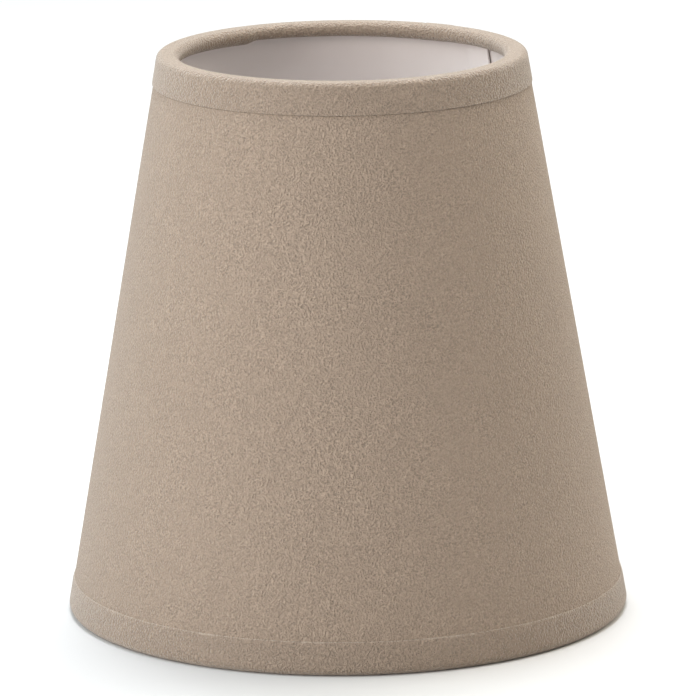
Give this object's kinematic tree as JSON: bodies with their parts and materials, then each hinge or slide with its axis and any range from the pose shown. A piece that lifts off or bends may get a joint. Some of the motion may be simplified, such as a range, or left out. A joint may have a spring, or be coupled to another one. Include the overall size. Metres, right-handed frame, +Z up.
{
  "type": "lamp shade",
  "caption": "Small tapered hardback lamp shade: grained taupe fabric on white backing, rolled fabric trims over wire rings, and a bottom fitter with a lift-out reducer ring.",
  "frame": {"origin": "centre of the bottom edge, on the surface that the shade stands on", "axes": "+Z up along the shade's axis; the side seam is at 35 to 42.5 degrees from +X towards +Y, so -Y is the plain front"},
  "size_m": [0.1492, 0.1492, 0.15],
  "materials": {
    "fabric": "matt grained taupe fabric with a slight sheen",
    "backing": "satin white styrene sheet",
    "tape": "double-sided adhesive tape",
    "wire": "white powder-coated steel wire",
    "fitter": "white powder-coated pressed steel",
    "reducer": "moulded white plastic"
  },
  "bodies": {
    "shade": {"fabric_cover": "fabric", "styrene_liner": "backing", "seam_tape": "tape", "top_trim": "fabric", "bottom_trim": "fabric", "top_ring": "wire", "bottom_ring": "wire", "fitter_spoke_1": "wire", "fitter_spoke_2": "wire", "fitter_spoke_3": "wire", "fitter_ring": "fitter"},
    "reducer": {"reducer_ring": "reducer"}
  },
  "joints": [
    {"name": "reducer_lift", "type": "slide", "parent": "shade", "child": "reducer", "axis": [0, 0, 1], "range_m": [0, 0.125]}
  ]
}
